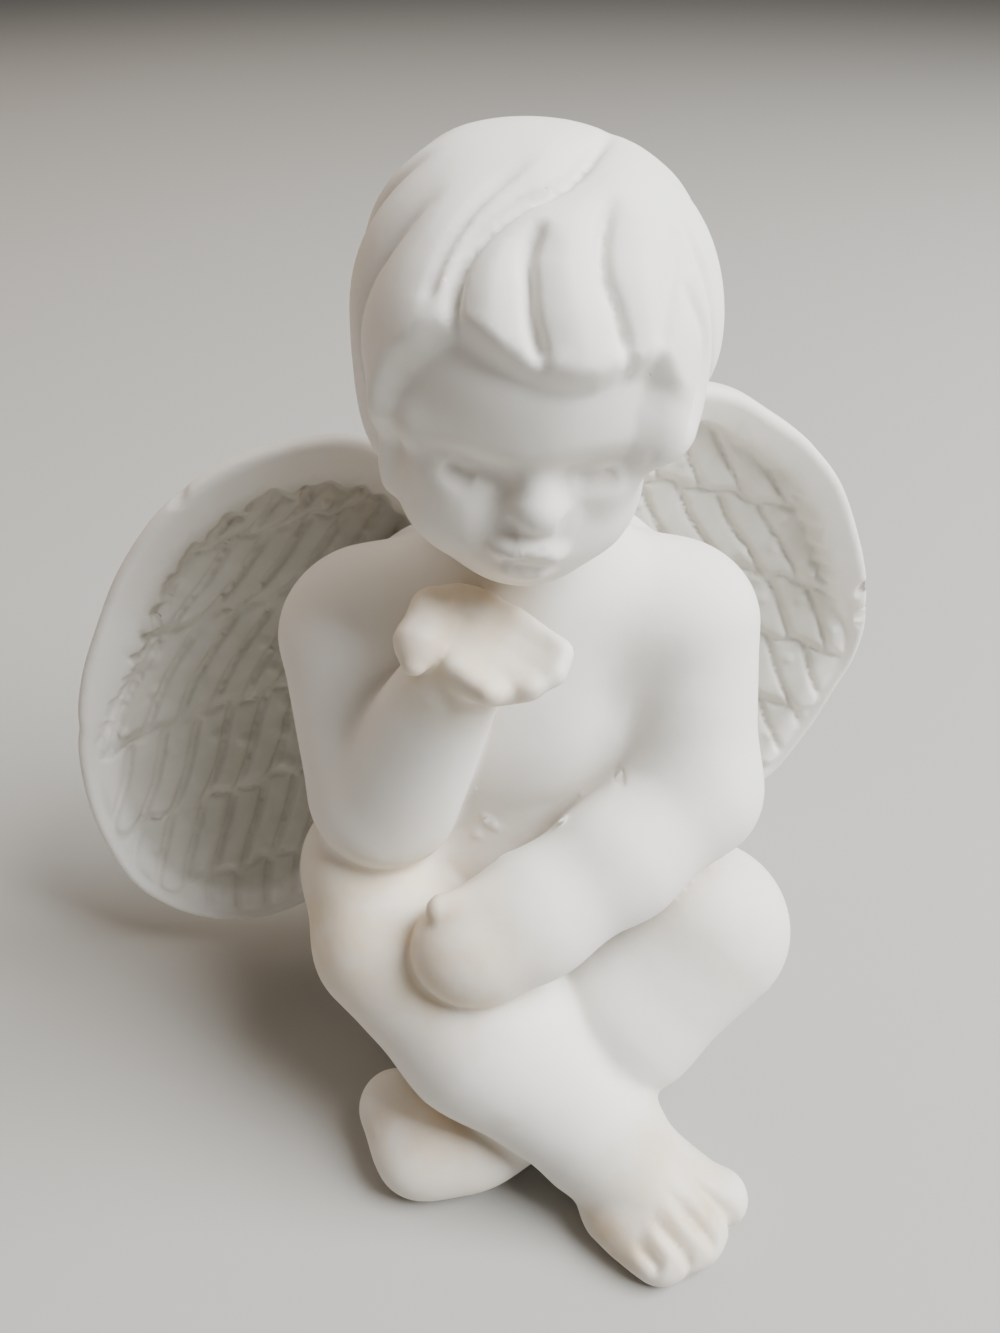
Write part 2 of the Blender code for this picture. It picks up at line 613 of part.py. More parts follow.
def main():
    for obj in list(bpy.data.objects):
        bpy.data.objects.remove(obj)
    sculpted("cherub_figurine", CLAY_GRAIN, FACES)


main()
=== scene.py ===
"""Looks of the seated cherub: matt bisque porcelain on a plain pale floor, in soft light.

The cast solid gives the form. A copy of it, remeshed finer, takes the carving that the solid is too coarse
for: the lines of the lids and lips, the lines between the feathers, the torn edge of slip inside a wing's
rim, seam bumps, chips and pinholes. Lengths of the sculpting are in the figure's own unit, HEIGHT / CROWN.
"""

import math
from collections import namedtuple

import bmesh
import bpy
import numpy as np
from mathutils import Euler, Matrix, Vector


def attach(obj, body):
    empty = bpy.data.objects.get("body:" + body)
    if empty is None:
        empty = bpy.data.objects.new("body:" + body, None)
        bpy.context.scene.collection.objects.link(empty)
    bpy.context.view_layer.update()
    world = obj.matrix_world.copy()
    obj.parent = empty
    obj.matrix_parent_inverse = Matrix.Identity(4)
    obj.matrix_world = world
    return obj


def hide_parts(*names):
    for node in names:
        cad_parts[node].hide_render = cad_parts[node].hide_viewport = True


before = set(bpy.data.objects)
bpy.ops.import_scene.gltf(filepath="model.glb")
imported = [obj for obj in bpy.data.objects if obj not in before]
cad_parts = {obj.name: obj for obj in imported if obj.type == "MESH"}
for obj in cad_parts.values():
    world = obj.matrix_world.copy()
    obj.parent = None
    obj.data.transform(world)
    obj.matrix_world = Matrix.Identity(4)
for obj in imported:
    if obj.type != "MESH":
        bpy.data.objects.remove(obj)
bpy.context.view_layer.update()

# Dimensions of the cast piece, in metres
HEIGHT = 0.127  # table to the crown of the head
WING_WALL = 0.0029  # thickness of the cast wing behind its feathers

# Pose, proportions and carving are in about hundredths of the height
CROWN = 98.8
UNIT = HEIGHT / CROWN

Egg = namedtuple("Egg", "centre radii turn", defaults=[(0, 0, 0)])
Limb = namedtuple("Limb", "start end start_radius end_radius")
Place = namedtuple("Place", "origin axes")


def turned(x, y, z):
    """Rotation matrix of a turn about X, then Y, then Z, in degrees."""
    return np.array(Euler([math.radians(a) for a in (x, y, z)], "XYZ").to_matrix())


# Torso, from the seat to the neck
TORSO = [
    Egg((0, 5, 10.5), (14.5, 11.5, 12.5)),
    Egg((0, 1.2, 6.5), (9.5, 7.8, 8.2)),
    Egg((-6.2, 8.6, 8.5), (8.0, 7.8, 8.8)),
    Egg((6.2, 8.6, 8.5), (8.0, 7.8, 8.8)),
    Egg((0, 0.2, 24), (12.6, 10.6, 13)),
    Egg((0, 1.4, 44), (12.6, 9.8, 15)),
    Egg((-16.0, 2.2, 53.4), (7.6, 7.2, 7.6)),
    Egg((15.4, 2.0, 53.0), (7.4, 7.2, 7.6)),
    Limb((-4, 2.6, 58.8), (-13.4, 2.6, 54.6), 6.4, 6.4),
    Limb((4, 2.6, 58.8), (13.0, 2.4, 54.2), 6.4, 6.4),
    Limb((0, 2.6, 54), (0.4, 1.5, 69), 8.0, 7.0),
    Egg((11.5, 0, 42), (4.5, 5, 9)),
    Egg((-10.5, 0, 40), (4.5, 5, 9)),
    Egg((15.5, -4.0, 28.6), (5.5, 5.0, 4.0)),
    Egg((-15.4, -6.0, 30.6), (5.0, 4.5, 3.5)),
]
RIGHT_THIGH = [
    Limb((-8, 6.0, 10.6), (-14.8, -10.8, 23.0), 10.2, 8.1),
    Egg((-18.5, -5.5, 27.5), (5.9, 6.5, 8.6)),
]
LEFT_THIGH = [Limb((8, 6.0, 10.6), (18.6, -10.6, 21.8), 10.2, 8.7)]
RIGHT_SHIN = [
    Limb((-15.0, -11.8, 23.6), (-5.6, -18.5, 16.9), 8.1, 9.0),
    Limb((-5.6, -18.5, 16.9), (5.6, -26.0, 9.0), 9.0, 6.6),
]
LEFT_SHIN = [
    Limb((18.8, -11.6, 21.8), (9.4, -16.2, 14.6), 8.7, 8.4),
    Limb((9.4, -16.2, 14.6), (-1.6, -21.2, 7.0), 8.4, 5.4),
]
RIGHT_FOOT = [
    Limb((5.6, -26.0, 7.2), (11.4, -31.2, 4.0), 6.1, 4.5),
    Egg((11.2, -31.6, 2.6), (6.4, 6.0, 3.9), (0, 0, 35)),
]
TOES = [
    Limb((8.6, -25.4, 6.4), (14.6, -29.2, 3.8), 4.0, 2.4),
    Limb((14.0, -29.0, 3.8), (17.9, -31.3, 3.0), 2.4, 2.6),
    Limb((17.9, -31.3, 2.8), (14.7, -34.6, 2.4), 2.6, 2.6),
    Limb((14.7, -34.6, 2.4), (10.8, -36.2, 2.2), 2.6, 2.4),
    Limb((10.8, -36.1, 2.2), (7.0, -31.5, 3.0), 2.4, 3.6),
]
# Grooves between the toes, seen from above, from the knuckles to the tips
TOE_GROOVES = [
    ((13.2, -30.5), (18.8, -34.5)),
    ((11.1, -32.2), (15.6, -36.2)),
    ((9.4, -34.1), (13.0, -37.4)),
    ((7.8, -35.5), (10.0, -37.8)),
]
TOE_GROOVE_DEPTH = 0.7
TOE_GROOVE_WIDTH = 1.2
LEFT_FOOT = [
    Egg((-8.6, -23.6, 4.2), (8.8, 5.8, 4.8), (0, -6, 4)),
    Limb((-15.7, -19.8, 4.6), (-13.4, -24.6, 3.4), 4.0, 3.8),
]
RIGHT_ARM = [
    Limb((-16.6, 1.8, 53.0), (-14.9, -4.4, 38.8), 7.2, 7.5),
    Limb((-14.3, -5.2, 38.4), (-7.2, -10.5, 57.0), 7.5, 4.4),
]
LEFT_ARM = [
    Limb((16.0, 1.8, 53.0), (16.5, -5.4, 37.8), 7.4, 6.9),
    Limb((16.4, -6.2, 37.3), (8.6, -11.8, 34.5), 6.5, 5.7),
    Limb((8.6, -11.8, 34.5), (-0.4, -16.0, 31.4), 5.7, 5.4),
    Limb((-0.4, -16.0, 31.4), (-5.4, -18.0, 30.0), 5.4, 5.4),
]
LEFT_FIST = [
    Egg((-6.6, -17.8, 29.4), (6.1, 5.4, 5.2), (0, 8, 18)),
    Limb((-4.6, -16.8, 33.8), (-9.4, -17.0, 34.2), 2.0, 1.5),
]
WING_ROOTS = [Egg((-9, 9.6, 48), (7, 4.6, 13)), Egg((9, 9.6, 49), (7, 4.6, 13))]

# Right hand, held palm up: +X to the fingertips, +Y to the little finger, +Z out of the palm
HAND = Place(np.array((-4.5, -12.3, 61.8)), (turned(25, 0, 0) @ turned(0, 0, -45)).T)
PALM = [
    Egg((-0.6, 0.2, -1.0), (6.3, 4.5, 1.8)),
    Egg((-3.6, 0.1, -1.7), (3.5, 3.5, 2.2)),
]
FINGERS = [
    Limb((-0.6, -2.5, -0.3), (2.7, -2.6, 0.0), 1.6, 1.5),
    Limb((0.3, -0.3, -0.3), (4.8, -0.1, 0.0), 1.5, 1.45),
    Limb((0.6, 1.6, -0.3), (5.5, 1.8, 0.0), 1.45, 1.4),
    Limb((0.2, 3.2, -0.3), (4.9, 3.4, 0.0), 1.4, 1.35),
]
THUMB = [
    Limb((-5.3, -0.5, 0.1), (-4.0, -3.8, 0.6), 2.2, 1.9),
    Limb((-4.0, -3.8, 0.6), (-3.1, -5.4, 0.3), 1.9, 0.9),
]
HOLLOW = Egg((1.2, 0.6, 1.9), (4.6, 3.6, 1.6))

# Head, turned a little and bowed: -Y out of the face, +Z to the crown
HEAD = Place(np.array((0.3, -1.1, 82.5)), turned(8, 6, -4).T)
SKULL = [
    Egg((-0.3, 1.4, 1.2), (11.8, 13.2, 11.2)),
    Egg((-3.2, 2.4, 4.5), (8.8, 9.8, 8.7)),
    Egg((3.1, 2.4, 4.0), (8.7, 9.8, 8.6)),
    Egg((0.0, -4.0, 1.8), (10.6, 9.6, 8.2)),
    Egg((-0.5, -2.6, -7.0), (8.6, 9.0, 8.2)),
    Egg((-8.0, 1.0, -6.0), (4.0, 5.5, 5.5)),
    Egg((-0.4, -5.8, -9.2), (7.2, 6.6, 5.6)),
]
BROWS = [
    Limb((-8.2, -9.4, -1.3), (-1.4, -11.8, -2.0), 1.9, 1.6),
    Limb((8.0, -9.6, 0.0), (1.6, -11.8, -1.3), 1.9, 1.6),
]
CHEEKS = [Egg((-4.9, -7.2, -7.8), (4.5, 5.4, 4.8)), Egg((4.2, -7.2, -7.8), (4.5, 5.4, 4.8))]
CHIN = Egg((0.1, -10.3, -11.9), (3.2, 2.4, 2.1))
MUZZLE = Egg((0.1, -10.7, -9.4), (4.6, 3.6, 3.5))
SOCKETS = [
    Egg((-4.2, -15.0, -3.2), (3.4, 2.4, 1.0), (0, 5, 0)),
    Egg((4.5, -15.0, -2.5), (3.4, 2.4, 1.0), (0, -10, 0)),
]
LIDS = [Egg((-4.9, -10.3, -4.9), (3.1, 2.5, 2.1)), Egg((4.9, -10.3, -4.2), (3.1, 2.5, 2.1))]
NOSE = [
    Limb((0.4, -12.0, -2.6), (0.8, -13.3, -5.0), 1.3, 1.6),
    Egg((0.8, -13.6, -5.5), (2.0, 1.8, 1.75)),
    Egg((-0.5, -12.8, -6.2), (1.2, 1.2, 1.0)),
    Egg((2.1, -12.8, -6.2), (1.2, 1.2, 1.0)),
]
LIPS = [
    Egg((-0.4, -14.1, -8.6), (2.2, 1.6, 1.15), (0, -6, 0)),
    Egg((1.0, -14.1, -8.6), (2.2, 1.6, 1.15), (0, 6, 0)),
    Egg((0.3, -13.7, -10.6), (2.0, 1.5, 1.1)),
]

# Hair, in degrees on the head: (round to the figure's left from the nose, up from the ears)
HAIR_RADII = np.array((14.2, 15.6, 16.2))
HAIR_DEPTH = 1.7
HAIR_EDGE = 2.5  # how far the hair takes to reach its depth
TEMPLE_EDGE = 6.0  # the same where it lies thin over the left temple
TEMPLE_FROM = 26  # degrees round from the nose at which the temple starts
TEMPLE_BELOW = 18  # degrees up from the ears at which it ends
TEMPLE_BLEND = 10
HAIR_THINNING = 0.35  # share of its depth that it loses towards the nape
HAIRLINE = [
    (-180, -38), (-140, -40), (-110, -42), (-84, -42), (-64, -42), (-56, -34), (-56, -18), (-51, -4),
    (-50, 4), (-47, 12), (-42, 17.5), (-37, 23), (-31, 27), (-23, 25.5), (-16, 23.5), (-8, 21.5), (0, 20),
    (8, 19), (16, 19), (22, 20.5), (26, 22), (30, 21), (36, 21.5), (39, 15), (38, 3), (37, -5), (40, -10),
    (48, -14), (62, -16), (80, -20), (100, -28), (125, -34), (150, -38), (180, -38),
]
# Grooves between the locks: (share of the full depth, corners)
FRONT_GROOVES = [
    (1.2, [
        (155, 50), (140, 66), (112, 78), (30, 80), (-8, 73), (-25, 67), (-34, 58), (-38, 48), (-37, 38),
        (-32, 27),
    ]),
    (1.1, [(-7, 63), (-12, 57), (-13, 49), (-10, 42), (-7, 34), (-2, 25)]),
    (1.0, [(52, 68), (34, 63), (23, 53), (21, 45), (23, 38), (25, 26)]),
    (0.4, [(79, 50), (66, 48), (55, 43), (45, 36), (37, 26)]),
    (0.6, [(52, 42), (57, 33), (60, 22), (56, 13), (48, 3)]),
    (0.5, [(-48, 85), (-50, 70), (-49, 55), (-46, 42), (-43, 30)]),
]
BACK_LOCKS = 9
BACK_LOCKS_FROM = 74  # degrees round the head
BACK_LOCKS_TO = 292
BACK_LOCK_SHARE = 0.9
GROOVE_DEPTH = 1.2
LOCK_ROUNDING = 3.6  # how far the roundness of a lock reaches from the crease beside it
LOCK_SHARE = 0.62  # share of the groove's depth in that roundness
CREASE_WIDTH = 0.9
CREASE_SHARE = 0.45

# A wing's outline is (degrees up from straight out, distance of the edge from the wing's middle). Its rim is
# as wide as rim says and rises over rim_step, and slip_edge says how ragged the slip is inside it. One row
# of feathers ends and the next begins at each height in rows, and the rows fall outwards by row_slope. The
# lines between the barbs of a row are barbs_apart from each other, and lean by bend and curl.
Wing = namedtuple(
    "Wing", "side centre sweep lean outline rim rim_step slip_edge rows row_slope barbs_apart bend curl"
)
RIGHT_OUTLINE = [
    (0, 19.4), (20, 18.8), (40, 19.3), (60, 21.8), (78, 25.4), (92, 28.5), (105, 31.1), (118, 33.2),
    (136, 31.5), (156, 26), (187, 22), (220, 22.4), (250, 26.4), (268, 30.6), (280, 32.4), (292, 32.4),
    (306, 30.3), (322, 25.9), (340, 22.1),
]
LEFT_OUTLINE = [
    (0, 19.0), (10, 18.4), (30, 18.6), (48, 20.2), (68, 23.9), (77, 26.0), (87, 28.6), (97, 32.0),
    (108, 34.2), (120, 33.5), (136, 30.5), (156, 25.5), (187, 21), (220, 21.5), (250, 25.5), (270, 28.6),
    (290, 27.6), (307, 23.7), (325, 20.9), (340, 20.2),
]
RIGHT_WING = Wing(
    side=-1, centre=(-29, 10.5, 38.5), sweep=-0.117, lean=0.11, outline=RIGHT_OUTLINE,
    rim=5.0, rim_step=0.9, slip_edge=0.7,
    rows=(26, 19.4, 11, -1, -12.5, -23, -34), row_slope=0.2, barbs_apart=3.6, bend=0.5, curl=0.008,
)
LEFT_WING = Wing(
    side=1, centre=(25, 17, 40), sweep=0.186, lean=0.0, outline=LEFT_OUTLINE,
    rim=4.2, rim_step=1.2, slip_edge=0.25,
    rows=(28, 18, 8.2, -0.5, -10, -20, -30), row_slope=0.33, barbs_apart=4.3, bend=0.38, curl=0.004,
)
WING_BOWL = 4.6
WING_EDGE_ROUNDING = 1.3
RIM_RISE = 1.5
RIM_LOW_SHARE = 0.25  # share of its width and rise that the rim keeps low on the wing
BACK_RELIEF_SHARE = 0.3  # share of the feathers' relief that shows on a wing's back
BARB_DEPTH = 0.45
BARB_ROUNDING = 1.5  # how far the roundness of a barb reaches from the line beside it
BARB_ARCH = 1.3  # how far a barb bends over from the start of its row to its tip
BARB_SHIFT = 0.45  # shift of every second row, as a share of the barbs' distance
BARB_LINE = (0.42, 0.7)  # depth, width
ROW_LINE = (0.4, 0.8)
ROW_STEP = 0.7
LUMPS_APART = 4.2
LUMP_HEIGHT = 0.34

NEARBY_GAP = 6  # distance that a part is taken to be from a point just out of its reach


def length(vectors):
    """Length of each row."""
    return np.sqrt(np.einsum("ij,ij->i", vectors, vectors))


def local(place, points):
    """Points of the figure, seen from a part's own place."""
    return (points - place.origin) @ place.axes.T


def distance(mass, points):
    """How far each point lies outside a mass, below zero inside."""
    if isinstance(mass, Egg):
        radii = np.array(mass.radii)
        offset = (points - mass.centre) @ turned(*mass.turn)
        stretched = length(offset / radii)
        return stretched * (stretched - 1) / np.maximum(length(offset / radii**2), 1e-6)
    start, end = np.array(mass.start, float), np.array(mass.end, float)
    axis = end - start
    along = np.clip((points - start) @ axis / (axis @ axis), 0, 1)
    radius = mass.start_radius + along * (mass.end_radius - mass.start_radius)
    return length(points - start - along[:, None] * axis) - radius


def joined(first, second, fillet):
    """Two masses pressed together, with clay in the corner between them."""
    share = np.clip(1 - np.abs(first - second) / fillet, 0, 1)
    return np.minimum(first, second) - share * share * fillet / 4


def pressed(body, tool, fillet):
    """A body with a tool pressed out of it."""
    return -joined(-body, tool, fillet)


def union(masses, points, fillet):
    """All of the masses pressed together, one after the other."""
    body = distance(masses[0], points)
    for mass in masses[1:]:
        body = joined(body, distance(mass, points), fillet)
    return body


def smooth_step(values):
    """An even rise from 0 to 1, flat at both ends."""
    share = np.clip(values, 0, 1)
    return share * share * (3 - 2 * share)


def groove(gap, depth, width):
    """Depth of a rounded line that is cut into the clay, at a distance from its middle."""
    return depth * (1 - np.minimum(gap / width, 1) ** 2) ** 2


def on_head(turn, rise):
    """Direction of a place on the head, from its degrees round and up."""
    turn, rise = math.radians(turn), math.radians(rise)
    return np.array((math.cos(rise) * math.sin(turn), -math.cos(rise) * math.cos(turn), math.sin(rise)))


def rounded(corners, steps=4):
    """A curve through the corners, bent evenly between them."""
    ends = [2 * corners[0] - corners[1], *corners, 2 * corners[-1] - corners[-2]]
    curve = []
    for a, b, c, d in zip(ends[:-3], ends[1:-2], ends[2:-1], ends[3:]):
        for t in np.linspace(0, 1, steps, endpoint=False):
            bend = t * t * (a - 2.5 * b + 2 * c - 0.5 * d) + t**3 * (1.5 * b - 0.5 * a - 1.5 * c + 0.5 * d)
            curve.append(b + 0.5 * t * (c - a) + bend)
    curve.append(np.array(corners[-1]))
    return np.array(curve)


def from_curve(curve, points):
    """Distance of each point from a curve, and how far along the curve that is, from 0 to 1."""
    nearest = np.full(len(points), np.inf)
    share = np.zeros(len(points))
    for i, (start, end) in enumerate(zip(curve[:-1], curve[1:])):
        axis = end - start
        along = np.clip((points - start) @ axis / (axis @ axis), 0, 1)
        gap = length(points - start - along[:, None] * axis)
        closer = gap < nearest
        nearest = np.where(closer, gap, nearest)
        share = np.where(closer, (i + along) / (len(curve) - 1), share)
    return nearest, share


def back_lock(index):
    """Groove between two locks that fall from the crown over the back of the head."""
    turn = BACK_LOCKS_FROM + (BACK_LOCKS_TO - BACK_LOCKS_FROM) * index / (BACK_LOCKS - 1)
    swing = 7 * math.sin(2.3 * index)
    corners = [(turn, 58), (turn + swing, 36), (turn - 5, 10), (turn + 4, -14), (turn + swing, -38)]
    return BACK_LOCK_SHARE, corners


def hair_table():
    """Thickness of the hair over the skull, for every degree round and up the head."""
    turns, rises = np.meshgrid(np.linspace(-180, 180, 361), np.linspace(-90, 90, 181))
    turn, rise = np.radians(turns.ravel()), np.radians(rises.ravel())
    bearing = np.stack((np.cos(rise) * np.sin(turn), -np.cos(rise) * np.cos(turn), np.sin(rise)), axis=1)
    radius = HAIR_RADII.mean()
    hairline = np.array(HAIRLINE, float)
    edge, _ = from_curve(np.array([on_head(*corner) for corner in HAIRLINE]), bearing)
    above = np.degrees(rise) > np.interp(np.degrees(turn), hairline[:, 0], hairline[:, 1])
    beside = smooth_step((np.degrees(turn) - TEMPLE_FROM) / TEMPLE_BLEND)
    at_temple = beside * smooth_step((TEMPLE_BELOW - np.degrees(rise)) / TEMPLE_BLEND)
    edge_width = HAIR_EDGE + (TEMPLE_EDGE - HAIR_EDGE) * at_temple
    cover = smooth_step(np.where(above, edge, -edge) * radius / edge_width + 0.4)
    thinning = HAIR_THINNING * smooth_step((-np.degrees(rise) - 8) / 30)
    carved = np.zeros(len(bearing))
    for depth, corners in FRONT_GROOVES + [back_lock(i) for i in range(BACK_LOCKS)]:
        gap, share = from_curve(rounded([on_head(*corner) for corner in corners]), bearing)
        fade = depth * smooth_step(share * 3) * smooth_step((1 - share) * 8 + 0.5)
        round_lock = (1 - np.minimum(np.hypot(gap * radius, 0.3) / LOCK_ROUNDING, 1)) ** 2
        crease = groove(gap * radius, 1, CREASE_WIDTH)
        carved = np.maximum(carved, fade * (LOCK_SHARE * round_lock + CREASE_SHARE * crease))
    return (cover * (HAIR_DEPTH * (1 - thinning) - GROOVE_DEPTH * carved)).reshape(turns.shape)


HAIR = hair_table()


def hair(points):
    """Thickness of the hair over the skull at each point, read between the table's places."""
    bearing = points / HAIR_RADII
    bearing = bearing / np.maximum(length(bearing), 1e-6)[:, None]
    column = np.degrees(np.arctan2(bearing[:, 0], -bearing[:, 1])) + 180
    row = np.degrees(np.arcsin(np.clip(bearing[:, 2], -1, 1))) + 90
    left = np.clip(column.astype(int), 0, 359)
    low = np.clip(row.astype(int), 0, 179)
    across, up = column - left, row - low
    lower = HAIR[low, left] * (1 - across) + HAIR[low, left + 1] * across
    upper = HAIR[low + 1, left] * (1 - across) + HAIR[low + 1, left + 1] * across
    return lower * (1 - up) + upper * up


def head(points):
    points = local(HEAD, points)
    body = union(SKULL, points, 4)
    body = joined(body, union(CHEEKS, points, 1), 4)
    body = joined(body, union(BROWS, points, 2), 2.5)
    body = joined(body, distance(MUZZLE, points), 2.5)
    body = joined(body, distance(CHIN, points), 3)
    for socket in SOCKETS:
        body = pressed(body, distance(socket, points), 2.6)
    body = joined(body, union(LIDS, points, 0.5), 1.8)
    body = joined(body, union(NOSE, points, 0.9), 1.5)
    body = joined(body, union(LIPS, points, 0.5), 1.0)
    return body - hair(points)


def hand(points):
    points = local(HAND, points)
    body = union(PALM, points, 2.5)
    body = joined(body, union(FINGERS, points, 1), 1.2)
    body = pressed(body, distance(HOLLOW, points), 1.4)
    return joined(body, union(THUMB, points, 1.2), 0.6)


def right_foot(points):
    foot = joined(union(RIGHT_FOOT, points, 2.5), union(TOES, points, 1.5), 2)
    above = points * (1, 1, 0)
    for knuckle, tip in TOE_GROOVES:
        gap, share = from_curve(np.array([(*knuckle, 0), (*tip, 0)]), above)
        pressed_in = smooth_step(share * 1.8) * (1 - np.minimum(gap / TOE_GROOVE_WIDTH, 1)) ** 1.5
        foot = foot + TOE_GROOVE_DEPTH * pressed_in * smooth_step(points[:, 2] - 1)
    return foot


def wing_axes(wing):
    """Directions of a wing: outward, up along it, and forward out of its hollow side."""
    outward = np.array((wing.side, wing.sweep, 0.0))
    outward /= np.linalg.norm(outward)
    upward = np.array((0, wing.lean, 1.0))
    upward -= outward * (outward @ upward)
    upward /= np.linalg.norm(upward)
    return outward, upward, np.cross(outward, upward) * wing.side


def wing_radius(wing, angle):
    """Distance of a wing's edge from its middle, and its slope, at an angle in degrees."""
    corners = np.array(wing.outline + [(wing.outline[0][0] + 360, wing.outline[0][1])], float)
    table = rounded(list(corners), 6)
    radius = np.interp(angle % 360, table[:, 0], table[:, 1])
    ahead = np.interp((angle + 2) % 360, table[:, 0], table[:, 1])
    return radius, (ahead - radius) / math.radians(2)


def lumps(out, up):
    """Small lumps of slip, one in about every other square of a grid over a wing.

    Each square has its own chance from 0 to 1, which also sets its lump's place and size.
    """
    column, line = np.floor(out / LUMPS_APART), np.floor(up / LUMPS_APART)
    chance = np.abs(437.585 * np.sin(12.9898 * column + 78.233 * line)) % 1
    x = out / LUMPS_APART - column - 0.3 - 0.4 * (chance * 57 % 1)
    y = up / LUMPS_APART - line - 0.3 - 0.4 * (chance * 91 % 1)
    size = 0.7 + 0.6 * (chance * 23 % 1)
    return LUMP_HEIGHT * (chance > 0.5) * smooth_step(1.2 - np.hypot(x, y) * LUMPS_APART / size)


def feathers(out, up, wing):
    """Height of the feathers: rows that overlap like tiles, cut lines between neighbours, and lumps of slip.

    The sines are the wavering of a hand that drew the rows and the barbs.
    """
    rows = np.array(wing.rows)
    wave = 0.2 * np.sin(1.7 * out + 0.6 * up) + 0.3 * np.sin(0.75 * out - 0.4 * up)
    row_place = np.interp(-(up + wing.row_slope * out + wave), -rows, np.arange(len(rows)))
    row = np.floor(row_place)
    through = row_place - row
    across = out + wing.bend * up + wing.curl * up * up - BARB_ARCH * through**2
    across = across + BARB_SHIFT * wing.barbs_apart * (row % 2)
    across = across + 0.35 * np.sin(0.4 * up + 1.9 * row)
    cell = across / wing.barbs_apart
    gap = np.abs(cell - np.round(cell)) * wing.barbs_apart
    ends = 0.3 + 0.7 * smooth_step(through * 9) * smooth_step((1 - through) * 9)
    barb = BARB_DEPTH * (1 - np.minimum(np.hypot(gap, 0.2) / BARB_ROUNDING, 1)) ** 2
    barb = barb + groove(gap, *BARB_LINE)
    tip = ROW_STEP * smooth_step(through) * smooth_step((1 - through) * 7)
    return tip - np.maximum(barb * ends, groove(through * 9, *ROW_LINE)) + lumps(out, up)


def wing_shell(points, wing):
    """Cupped wing with a raised front rim, hollow side to the front."""
    out, up, ahead = ((points - wing.centre) @ axis for axis in wing_axes(wing))
    reach = np.hypot(out, up)
    angle = np.degrees(np.arctan2(up, out)) % 360
    radius, slope = wing_radius(wing, angle)
    inset = (radius - reach) / np.sqrt(1 + (slope / radius) ** 2)
    height = ahead + WING_BOWL * (1 - np.clip(reach / radius, 0, 1.1) ** 2)
    from_top = np.abs((angle - 90 + 180) % 360 - 180)
    top = 1 - smooth_step((from_top - 55) / 60)
    rim_share = RIM_LOW_SHARE + (1 - RIM_LOW_SHARE) * top
    torn = np.abs((angle * 0.21 + 0.5 * np.sin(angle * 0.47)) % 2 - 1) + 0.3 * np.sin(angle * 1.1)
    ragged = (0.3 * np.sin(0.55 * angle) + wing.slip_edge * (torn - 0.5)) * top
    width = wing.rim * rim_share + ragged
    on_rim = smooth_step((width - inset) / wing.rim_step + 0.5)
    relief = feathers(out, up, wing) * smooth_step((inset - width - 0.2) / 1.2)
    front = WING_WALL / UNIT / 2 + RIM_RISE * rim_share * on_rim + relief
    back = WING_WALL / UNIT / 2 + BACK_RELIEF_SHARE * relief
    across = np.maximum(height - front, -height - back) + WING_EDGE_ROUNDING
    beyond = WING_EDGE_ROUNDING - inset
    outside = np.hypot(np.maximum(across, 0), np.maximum(beyond, 0))
    return outside + np.minimum(np.maximum(across, beyond), 0) - WING_EDGE_ROUNDING


def nearby(part, middle, reach, points):
    """A part's distance, worked out only for the points that are close to it."""
    away = length(points - np.array(middle))
    close = away < reach
    result = away - reach + NEARBY_GAP
    result[close] = part(points[close])
    return result


def legs(points):
    body = joined(union(RIGHT_THIGH, points, 3), union(LEFT_THIGH, points, 1), 1)
    left = joined(union(LEFT_SHIN, points, 2), union(LEFT_FOOT, points, 3), 2.5)
    body = joined(body, left, 1.6)
    right = joined(union(RIGHT_SHIN, points, 2), nearby(right_foot, RIGHT_FOOT[1].centre, 18, points), 2.2)
    return joined(body, right, 1.3)


def left_arm(points):
    return joined(union(LEFT_ARM, points, 4), union(LEFT_FIST, points, 0.7), 2.0)


def right_arm(points):
    return joined(union(RIGHT_ARM, points, 1.2), nearby(hand, HAND.origin, 16, points), 1.4)


def figure(points):
    """Distance from the figure's skin to each point, in the figure's units."""
    body = joined(union(TORSO, points, 5), union(WING_ROOTS, points, 3), 3)
    body = joined(body, nearby(legs, (0, -14, 14), 42, points), 1.8)
    for wing in (RIGHT_WING, LEFT_WING):
        body = joined(body, nearby(lambda near: wing_shell(near, wing), wing.centre, 40, points), 1.6)
    body = joined(body, nearby(left_arm, (8, -8, 42), 32, points), 1.1)
    body = joined(body, nearby(right_arm, (-11, -5, 50), 30, points), 1.1)
    return joined(body, nearby(head, HEAD.origin, 24, points), 1.6)


ROUGH_GRAIN = 0.7  # cell of the first remesh
FINE_GRAIN = 0.36  # cell of the fine remesh
FINE_FACES = 194000  # triangles that are kept
PRESS_ROUNDS = 3
SLOPE_REACH = 0.04  # distance from a vertex at which the skin's slope is felt
LEAST_SLOPE = 0.35  # keeps the steps short where the skin's slope can't be felt
LONGEST_STEP = 1.2
TABLE_SNAP = 0.22  # vertices this close to the table are set on it

# Lines that the modelling tool drew in the face, in degrees on the head: (depth, width, corners)
FACE_LINES = [
    (0.34, 0.9, [(-30, -10.6), (-27, -13.5), (-23, -15.1), (-19, -16.2)]),
    (0.34, 0.9, [(15, -13.4), (19, -13.5), (22, -13), (27, -11.7), (31, -9.7)]),
    (0.34, 0.8, [(-10, -31.5), (-6, -30.7), (-3, -29.9), (1, -28.9), (5, -29.3), (8, -29.5), (12, -29.6)]),
    (0.2, 2.4, [(-13, -16.4), (-12, -23.6), (-11, -29.1), (-8, -33.8)]),
    (0.2, 1.1, [(-7, -21.6), (-5, -23.9), (-2, -23.6)]),
    (0.2, 1.1, [(12, -18.6), (12, -21.6), (9, -22.1)]),
    (0.22, 1.3, [(-4, -34.4), (2, -34.4), (7, -34.1)]),
]

